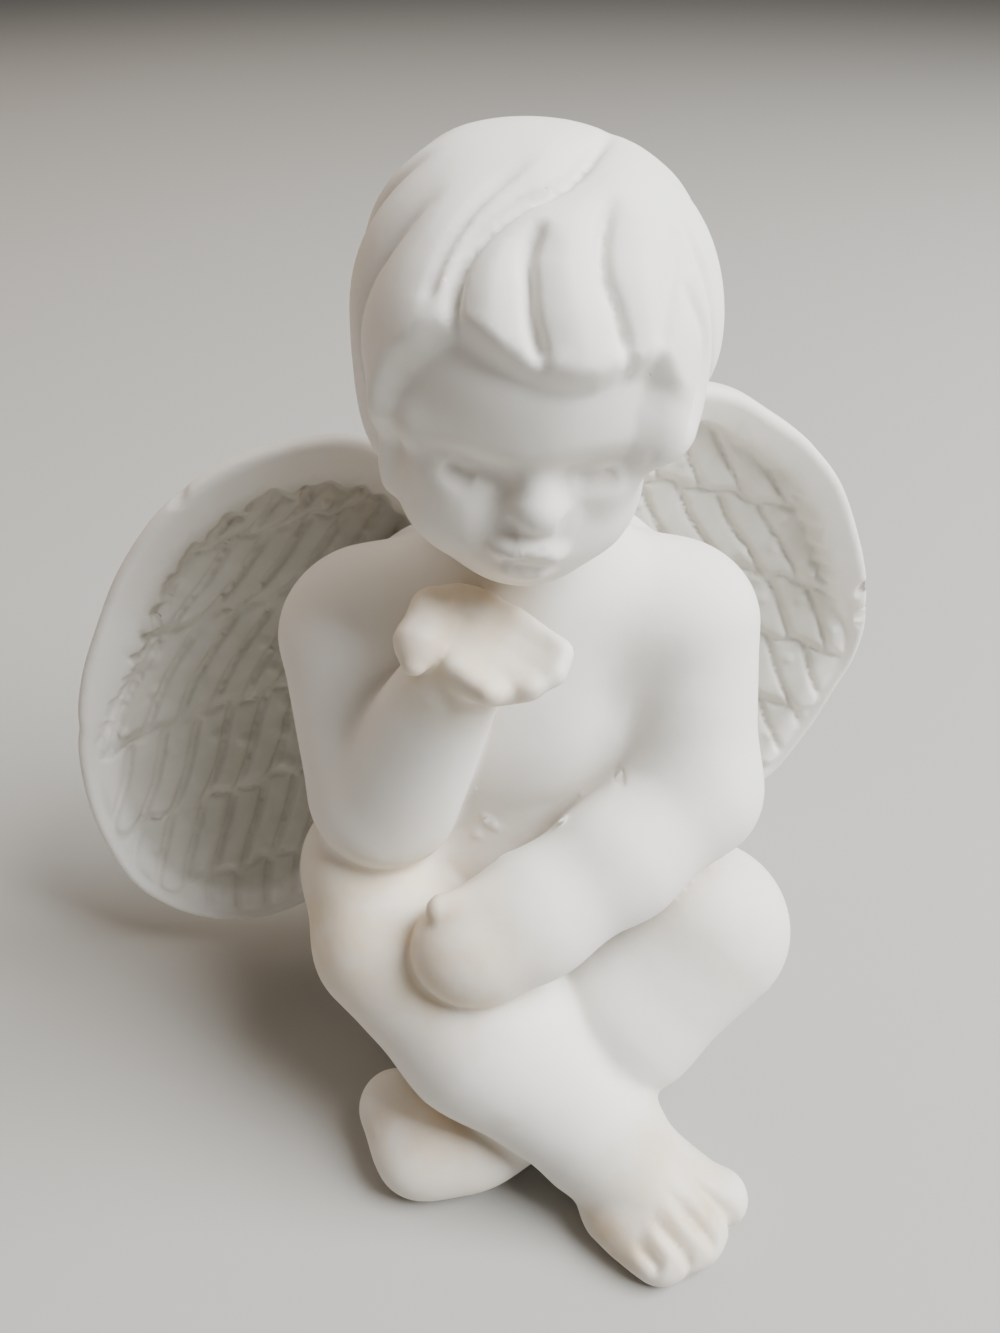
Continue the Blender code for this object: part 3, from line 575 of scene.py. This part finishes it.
# Small marks of the making
SEAM_BUMPS = [
    Egg((2.6, -10.3, 38.3), (0.9, 0.8, 0.6)),
    Egg((-2.2, -12.3, 35.3), (1.4, 0.8, 0.6)),
    Egg((-4.0, -6.9, 35.2), (1.3, 0.4, 0.4), (0, 50, 0)),
    Egg((-5.2, -6.5, 33.2), (0.6, 0.4, 0.5)),
]
PINHOLES = [  # larger ones, where two parts were stuck together
    Egg((9.0, -7.9, 41.1), (0.45, 1.7, 0.6)),
    Egg((-8.4, -19.4, 32.0), (1.5, 1.0, 0.5), (0, 24, 0)),
]
CHIPS = [
    Egg((-34.0, 10.5, 65.1), (1.7, 4.0, 1.6), (0, 20, 0)),
    Egg((42.0, 18.0, 44.6), (0.7, 1.2, 1.3)),
    Egg((42.9, 19.0, 40.2), (0.6, 1.0, 1.5)),
    Egg((-24.2, 13.4, 50.8), (1.0, 1.0, 0.7), (0, 20, 0)),
]

# Places that handling has made warm and a little smoother, with painted shade and painted warm reflected
# light at the thigh, the instep and the elbow, and stains: (centre, reach, share)
HANDLED_AND_PAINTED_LIGHT = [
    ((-6, -13, 62.5), 9, 0.9), ((-9, -20, 31), 10, 1.0), ((12, -32, 5), 9, 0.9), ((-10, -25, 6), 8, 0.8),
    # The thigh at (-17, -12, 27), the instep at (9, -29, 9) and the elbow at (-15, -6, 36) are painted shade
    # and painted warm reflected light
    ((-17, -12, 27), 12, 0.9), ((19, -15, 27), 8, 0.3), ((9, -29, 9), 6, 1.0), ((-15, -6, 36), 7, 0.6),
]
STAINED = [
    ((-17.4, -22.7, 6.6), 2.2, 0.7), ((-13.6, -25.4, 7.3), 1.6, 0.5), ((-4.4, -28.4, 16.0), 1.2, 0.35),
    ((5, -34, 4.6), 2.6, 0.8), ((7.4, -36, 3.8), 2.6, 0.8), ((14.9, -34, 5.6), 2.4, 0.6),
    ((9.4, -35, 5), 2, 0.5), ((-9.4, -17, 33.2), 1.8, 0.8),
]
MARK_EDGE = 1.3  # distance at which a mark has faded to nothing, as a share of its reach
# Painted shade: places that the skin closes in on are coloured darker and browner, as where shade falls
PAINTED_SHADE_STEPS = ((0.7, 0.55), (2.4, 0.45))  # (distance out from the skin, share of the hollow mark)
DUST_AND_SHADE_EDGE = 2  # width over which the dust and painted shade in a wing's hollow fade at the rim


def face_lines(points):
    """Depth of the lines in the face."""
    seen = local(HEAD, points)
    reach = length(seen)
    bearing = seen / HAIR_RADII
    bearing = bearing / np.maximum(length(bearing), 1e-6)[:, None]
    close = (bearing[:, 1] < -0.6) & (bearing[:, 2] > -0.66) & (reach < 20)
    carved = np.zeros(len(points))
    for depth, width, corners in FACE_LINES:
        gap, share = from_curve(rounded([on_head(*corner) for corner in corners]), bearing[close])
        fade = depth * smooth_step(share * 4) * smooth_step((1 - share) * 4)
        carved[close] = np.maximum(carved[close], groove(gap * reach[close], fade, width))
    return carved


def fine_figure(points):
    """The figure's skin with its face lines, seam bumps, chips and pinholes."""
    body = figure(points) + face_lines(points)
    for bump in SEAM_BUMPS:
        body = joined(body, distance(bump, points), 0.5)
    for hole in PINHOLES + CHIPS:
        body = pressed(body, distance(hole, points), 0.5)
    return body


def apply_modifiers(obj):
    """Leaves the object with the mesh that its modifiers make."""
    graph = bpy.context.evaluated_depsgraph_get()
    graph.update()
    mesh = bpy.data.meshes.new_from_object(obj.evaluated_get(graph))
    obj.modifiers.clear()
    old = obj.data
    obj.data = mesh
    bpy.data.meshes.remove(old)


def remesh(obj, grain):
    """Rebuilds the object's mesh as one skin of even cells."""
    modifier = obj.modifiers.new("skin", "REMESH")
    modifier.mode = "VOXEL"
    modifier.voxel_size = grain
    apply_modifiers(obj)
    drop_scraps(obj.data)


def drop_scraps(mesh):
    """Drops any scrap that isn't part of the main skin."""
    bm = bmesh.new()
    bm.from_mesh(mesh)
    waiting = set(bm.verts)
    pieces = []
    while waiting:
        piece, edge = set(), [waiting.pop()]
        while edge:
            v = edge.pop()
            piece.add(v)
            for e in v.link_edges:
                other = e.other_vert(v)
                if other in waiting:
                    waiting.discard(other)
                    edge.append(other)
        pieces.append(piece)
    pieces.sort(key=len)
    for piece in pieces[:-1]:
        bmesh.ops.delete(bm, geom=list(piece), context="VERTS")
    bm.to_mesh(mesh)
    bm.free()


def vertex_vectors(mesh, field):
    """The places or the normals of a mesh's vertices, as rows of numbers."""
    flat = np.empty(len(mesh.vertices) * 3, np.float32)
    mesh.vertices.foreach_get(field, flat)
    return flat.reshape(-1, 3).astype(float)


def press_to(mesh, skin):
    """Moves the vertices onto a skin, by steps along its slope."""
    points = vertex_vectors(mesh, "co")
    corners = np.array([(1, -1, -1), (-1, -1, 1), (-1, 1, -1), (1, 1, 1)]) * SLOPE_REACH
    for _ in range(PRESS_ROUNDS):
        around = [skin(points + corner) for corner in corners]
        here = sum(around) / 4
        slope = sum(value[:, None] * corner for value, corner in zip(around, corners)) / (4 * SLOPE_REACH**2)
        steep = np.maximum(length(slope), LEAST_SLOPE)
        step = np.clip(here / steep, -LONGEST_STEP, LONGEST_STEP) / steep
        points -= step[:, None] * slope
    mesh.vertices.foreach_set("co", points.astype(np.float32).ravel())
    mesh.update()


def cut_at_table(mesh):
    """Cuts the underside flat at z = 0, as a foot ground on a stone."""
    bm = bmesh.new()
    bm.from_mesh(mesh)
    for v in bm.verts:
        if abs(v.co.z) < TABLE_SNAP:
            v.co.z = 0
    everything = bm.verts[:] + bm.edges[:] + bm.faces[:]
    bmesh.ops.bisect_plane(
        bm, geom=everything, dist=1e-4, plane_co=(0, 0, 0), plane_no=(0, 0, 1), clear_inner=True
    )
    bmesh.ops.holes_fill(bm, edges=[e for e in bm.edges if e.is_boundary], sides=0)
    bmesh.ops.triangulate(bm, faces=bm.faces)
    bm.to_mesh(mesh)
    bm.free()


def fine_copy():
    """The figure: a merged copy of its solid, remeshed and pressed to the same skin with finer carving."""
    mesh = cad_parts["cherub_figurine"].data.copy()
    bm = bmesh.new()
    bm.from_mesh(mesh)
    bmesh.ops.remove_doubles(bm, verts=bm.verts, dist=1e-6)
    bmesh.ops.scale(bm, vec=Vector((1, 1, 1)) / UNIT, verts=bm.verts)
    bm.to_mesh(mesh)
    bm.free()
    mesh.materials.clear()
    obj = bpy.data.objects.new("figure", mesh)
    bpy.context.scene.collection.objects.link(obj)
    remesh(obj, ROUGH_GRAIN)
    press_to(obj.data, figure)
    remesh(obj, FINE_GRAIN)
    press_to(obj.data, fine_figure)
    obj.data.calc_loop_triangles()
    if len(obj.data.loop_triangles) > FINE_FACES:
        fewer = obj.modifiers.new("fewer", "DECIMATE")
        fewer.ratio = FINE_FACES / len(obj.data.loop_triangles)
        apply_modifiers(obj)
    cut_at_table(obj.data)
    mark_surface(obj.data)
    obj.data.transform(Matrix.Scale(UNIT, 4))
    obj.data.shade_smooth()
    return obj


def mark_surface(mesh):
    """Attributes for the finish: painted shade in creases and recesses, a grey dusting with painted shade in
    the wings' cups, wear from hands with painted shade and painted warm reflected light, and stains.
    """
    points = vertex_vectors(mesh, "co")
    normals = vertex_vectors(mesh, "normal")
    # Painted shade: how closely the skin closes in on each place, read at two distances out from it
    painted_recess_shade = np.zeros(len(points))
    for step, share in PAINTED_SHADE_STEPS:
        painted_recess_shade += share * np.clip(1 - figure(points + normals * step) / step, 0, 1)
    marks = {"painted_recess_shade": painted_recess_shade, "dust_and_painted_shade": np.zeros(len(points))}
    # Grey dust together with painted shade, on the forward-facing skin inside each wing's rim
    for wing in (RIGHT_WING, LEFT_WING):
        outward, upward, forward = wing_axes(wing)
        out, up, ahead = ((points - wing.centre) @ axis for axis in (outward, upward, forward))
        radius, _ = wing_radius(wing, np.degrees(np.arctan2(up, out)) % 360)
        inside = radius - np.hypot(out, up)
        facing = smooth_step(3 * (normals @ forward))
        on_wing = smooth_step(4 - np.abs(ahead + 2))
        wing_dust_and_shade = smooth_step((inside - 0.7 * wing.rim) / DUST_AND_SHADE_EDGE) * facing * on_wing
        marks["dust_and_painted_shade"] = np.maximum(marks["dust_and_painted_shade"], wing_dust_and_shade)
    # Wear from hands, with painted shade and painted warm reflected light at the thigh, the instep and the
    # elbow, and stains
    for name, places in (("handled_and_painted_light", HANDLED_AND_PAINTED_LIGHT), ("stained", STAINED)):
        marks[name] = np.zeros(len(points))
        for centre, reach, share in places:
            near = share * smooth_step(MARK_EDGE - length(points - centre) / reach)
            marks[name] = np.maximum(marks[name], near)
    for name, values in marks.items():
        mesh.attributes.new(name, "FLOAT", "POINT").data.foreach_set("value", values.astype(np.float32))


# Colours of the clay, of what lies on it, and of painted shade and painted warm reflected light: (attribute,
# least and greatest share, colour)
COOL_CLAY = "#f3f1ed"
WARM_CLAY = "#e9e4db"
IRON_SPECK = "#5d5248"
LAYERS = [
    # painted shade in creases and recesses
    ("painted_recess_shade", 0.2, 0.5, "#b3a48e"),
    # grey dust together with painted shade on the front of the wings' hollows
    ("dust_and_painted_shade", 0.45, 0.6, "#b0ad9e"),
    # wear from hands, with painted shade and painted warm reflected light at the thigh, the instep and the
    # elbow
    ("handled_and_painted_light", 0.3, 0.75, "#dcc7a6"),
    ("stained", 0.3, 0.6, "#b99a68"),
]
CLOUDS_ACROSS = 15  # sizes of the patterns, in mm
PATCHES_ACROSS = 4
SPECK_NET = 9
SLIP_ACROSS = 6
PINHOLE_NET = 4
GRIT_ACROSS = 0.4
BARE_ROUGHNESS = 0.68
HANDLED_ROUGHNESS = 0.54

# The studio
FLOOR_REACH = 4  # metres from the figure to the floor's edge
FLOOR_COLOUR = "#aaa8a3"
LIGHTS = [  # (name, direction from the figure, distance, size, power in watts, colour)
    ("window", (0.76, -0.22, 0.85), 1.0, 0.65, 33, "#fbfdff"),
    ("overhead", (-0.4, 0.5, 1.0), 1.2, 1.2, 7.0, "#fff3e4"),
    ("room", (-1.0, 0.5, 0.3), 1.2, 1.2, 1.8, "#ffbe85"),
]
ROOM_COLOUR = "#f6efe4"
ROOM_STRENGTH = 0.08
CAMERA_PLACE = (-0.01032, -0.10417, 0.14500)
CAMERA_TURN = -3.9  # degrees anticlockwise, seen from above
CAMERA_DOWN = 37.7
CAMERA_ROLL = -0.36
CAMERA_LENS = 27.9  # mm
CAMERA_SENSOR = 36


def linear(hex_colour):
    """An sRGB hex colour as linear red, green, blue and alpha."""
    channels = [int(hex_colour[i : i + 2], 16) / 255 for i in (1, 3, 5)]
    return (*[c / 12.92 if c <= 0.04045 else ((c + 0.055) / 1.055) ** 2.4 for c in channels], 1.0)


def add(tree, kind, links=(), **settings):
    """Adds a node: its properties and inputs by name, and its links as (input, source node, output)."""
    node = tree.nodes.new(kind)
    for name, value in settings.items():
        if name.startswith("in_"):
            key = name[3:]
            node.inputs[int(key) if key.isdigit() else key.replace("_", " ")].default_value = value
        else:
            setattr(node, name, value)
    for socket, source, output in links:
        tree.links.new(source.outputs[output], node.inputs[socket])
    return node


def per_metre(millimetres):
    """Scale of a pattern whose cells are this wide."""
    return 1000 / millimetres


def bisque():
    """Bisque porcelain, slip-cast in a plaster mould and fired without a glaze.

    It is matt and close-grained and lets a little light in, so its shadows are soft and a little warm.
    Hands leave it faintly yellow, the cups of its wings gather a grey dusting, and specks of iron and
    pinholes of air show here and there. Shade is painted into its colour too: darker and browner in creases
    and recesses, greyer in the cups of the wings, and warmer and darker on the thigh, the instep and the
    elbow, as painted shade and painted warm reflected light.
    """
    material = bpy.data.materials.new("bisque_porcelain")
    material.use_nodes = True
    tree = material.node_tree
    shader = tree.nodes["Principled BSDF"]
    place = add(tree, "ShaderNodeTexCoord")

    # Clouding in the fired clay, about 15 mm across, between a cool white and a warm one
    clouds = add(
        tree, "ShaderNodeTexNoise", [("Vector", place, "Object")],
        in_Scale=per_metre(CLOUDS_ACROSS), in_Detail=3.0,
    )
    colour = add(
        tree, "ShaderNodeMix", [(0, clouds, "Fac")], data_type="RGBA",
        in_6=linear(COOL_CLAY), in_7=linear(WARM_CLAY),
    )

    # Layers over it, each uneven over about 4 mm: painted shade in creases and recesses, grey dust with
    # painted shade in the wings, wear from hands with painted shade and painted warm reflected light, and
    # stains
    for name, least, share, tint in LAYERS:
        mark = add(tree, "ShaderNodeAttribute", attribute_name=name)
        patchy = add(
            tree, "ShaderNodeTexNoise", [("Vector", place, "Object")],
            in_Scale=per_metre(PATCHES_ACROSS), in_Detail=4.0,
        )
        uneven = add(
            tree, "ShaderNodeMapRange", [("Value", patchy, "Fac")],
            in_From_Min=0.25, in_From_Max=0.6, in_To_Min=least, in_To_Max=share,
        )
        cover = add(tree, "ShaderNodeMath", [(0, mark, "Fac"), (1, uneven, "Result")], operation="MULTIPLY")
        colour = add(
            tree, "ShaderNodeMix", [(0, cover, "Value"), (6, colour, 2)], data_type="RGBA", in_7=linear(tint)
        )

    # Specks of iron, 0.3 mm across, in a few of the cells of a 9 mm net
    net = add(tree, "ShaderNodeTexVoronoi", [("Vector", place, "Object")], in_Scale=per_metre(SPECK_NET))
    chance = add(tree, "ShaderNodeSeparateColor", [("Color", net, "Color")])
    few = add(tree, "ShaderNodeMath", [(0, chance, "Red")], operation="GREATER_THAN", in_1=0.55)
    dot = add(
        tree, "ShaderNodeMapRange", [("Value", net, "Distance")],
        in_From_Min=0.014, in_From_Max=0.026, in_To_Min=0.85, in_To_Max=0.0,
    )
    speck = add(tree, "ShaderNodeMath", [(0, few, "Value"), (1, dot, "Result")], operation="MULTIPLY")
    colour = add(
        tree, "ShaderNodeMix", [(0, speck, "Value"), (6, colour, 2)], data_type="RGBA",
        in_7=linear(IRON_SPECK),
    )
    tree.links.new(colour.outputs[2], shader.inputs["Base Color"])

    # The bare surface is a little smoother where it was handled
    rubbed = add(tree, "ShaderNodeAttribute", attribute_name="handled_and_painted_light")
    matt = add(
        tree, "ShaderNodeMapRange", [("Value", rubbed, "Fac")],
        in_To_Min=BARE_ROUGHNESS, in_To_Max=HANDLED_ROUGHNESS,
    )
    tree.links.new(matt.outputs["Result"], shader.inputs["Roughness"])

    # Relief: slip that dried unevenly over 6 mm, pinholes in some cells of a 4 mm net, and the grit of the
    # fired clay. Real grit is about 0.05 mm, too fine to show, so it is drawn at 0.4 mm.
    slip = add(
        tree, "ShaderNodeTexNoise", [("Vector", place, "Object")],
        in_Scale=per_metre(SLIP_ACROSS), in_Detail=2.0,
    )
    dried = add(tree, "ShaderNodeBump", [("Height", slip, "Fac")], in_Strength=0.35, in_Distance=0.0004)
    cells = add(tree, "ShaderNodeTexVoronoi", [("Vector", place, "Object")], in_Scale=per_metre(PINHOLE_NET))
    pick = add(tree, "ShaderNodeSeparateColor", [("Color", cells, "Color")])
    some = add(tree, "ShaderNodeMath", [(0, pick, "Green")], operation="GREATER_THAN", in_1=0.7)
    pit = add(
        tree, "ShaderNodeMapRange", [("Value", cells, "Distance")],
        in_From_Min=0.02, in_From_Max=0.05, in_To_Min=-1.0, in_To_Max=0.0,
    )
    pinholes = add(tree, "ShaderNodeMath", [(0, some, "Value"), (1, pit, "Result")], operation="MULTIPLY")
    pricked = add(
        tree, "ShaderNodeBump", [("Height", pinholes, "Value"), ("Normal", dried, "Normal")],
        in_Strength=0.5, in_Distance=0.0001,
    )
    grit = add(
        tree, "ShaderNodeTexNoise", [("Vector", place, "Object")],
        in_Scale=per_metre(GRIT_ACROSS), in_Detail=2.0,
    )
    grain = add(
        tree, "ShaderNodeBump", [("Height", grit, "Fac"), ("Normal", pricked, "Normal")],
        in_Strength=0.22, in_Distance=0.00004,
    )
    tree.links.new(grain.outputs["Normal"], shader.inputs["Normal"])

    # Light goes about a millimetre into the body, red furthest
    shader.inputs["IOR"].default_value = 1.5
    shader.inputs["Subsurface Weight"].default_value = 0.1
    shader.inputs["Subsurface Radius"].default_value = (1.0, 0.75, 0.5)
    shader.inputs["Subsurface Scale"].default_value = 0.0012
    return material


def floor():
    """A plain pale floor, eight metres across."""
    bm = bmesh.new()
    bmesh.ops.create_grid(bm, x_segments=1, y_segments=1, size=FLOOR_REACH)
    mesh = bpy.data.meshes.new("floor")
    bm.to_mesh(mesh)
    bm.free()
    obj = bpy.data.objects.new("floor", mesh)
    bpy.context.scene.collection.objects.link(obj)
    material = bpy.data.materials.new("pale_floor")
    material.use_nodes = True
    shader = material.node_tree.nodes["Principled BSDF"]
    shader.inputs["Base Color"].default_value = linear(FLOOR_COLOUR)
    shader.inputs["Roughness"].default_value = 0.8
    mesh.materials.append(material)
    return obj


def soft_light(name, direction, distance, size, power, colour):
    """A square area light that looks at the figure from a direction."""
    light = bpy.data.lights.new(name, "AREA")
    light.size = size
    light.energy = power
    light.color = linear(colour)[:3]
    obj = bpy.data.objects.new(name, light)
    bpy.context.scene.collection.objects.link(obj)
    towards = Vector(direction).normalized()
    obj.location = Vector((0, 0, HEIGHT / 2)) + towards * distance
    obj.rotation_euler = towards.to_track_quat("Z", "Y").to_euler()


def camera():
    """The photograph's view: from one height away, 37.7 degrees down."""
    data = bpy.data.cameras.new("camera")
    data.lens = CAMERA_LENS
    data.sensor_width = CAMERA_SENSOR
    data.clip_start = 0.001
    obj = bpy.data.objects.new("camera", data)
    turn = Matrix.Rotation(math.radians(CAMERA_TURN), 4, "Z")
    turn = turn @ Matrix.Rotation(math.radians(90 - CAMERA_DOWN), 4, "X")
    turn = turn @ Matrix.Rotation(math.radians(CAMERA_ROLL), 4, "Z")
    obj.matrix_world = Matrix.Translation(CAMERA_PLACE) @ turn
    bpy.context.scene.collection.objects.link(obj)
    bpy.context.scene.camera = obj


def room_light():
    """A weak, even, warm light from all round."""
    world = bpy.data.worlds.new("room_light")
    world.use_nodes = True
    background = world.node_tree.nodes["Background"]
    background.inputs["Color"].default_value = linear(ROOM_COLOUR)
    background.inputs["Strength"].default_value = ROOM_STRENGTH
    bpy.context.scene.world = world


figurine = fine_copy()
figurine.name = "bisque_cherub"
figurine.data.materials.append(bisque())
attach(figurine, "root")
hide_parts("cherub_figurine")

floor()
camera()
for settings in LIGHTS:
    soft_light(*settings)
room_light()
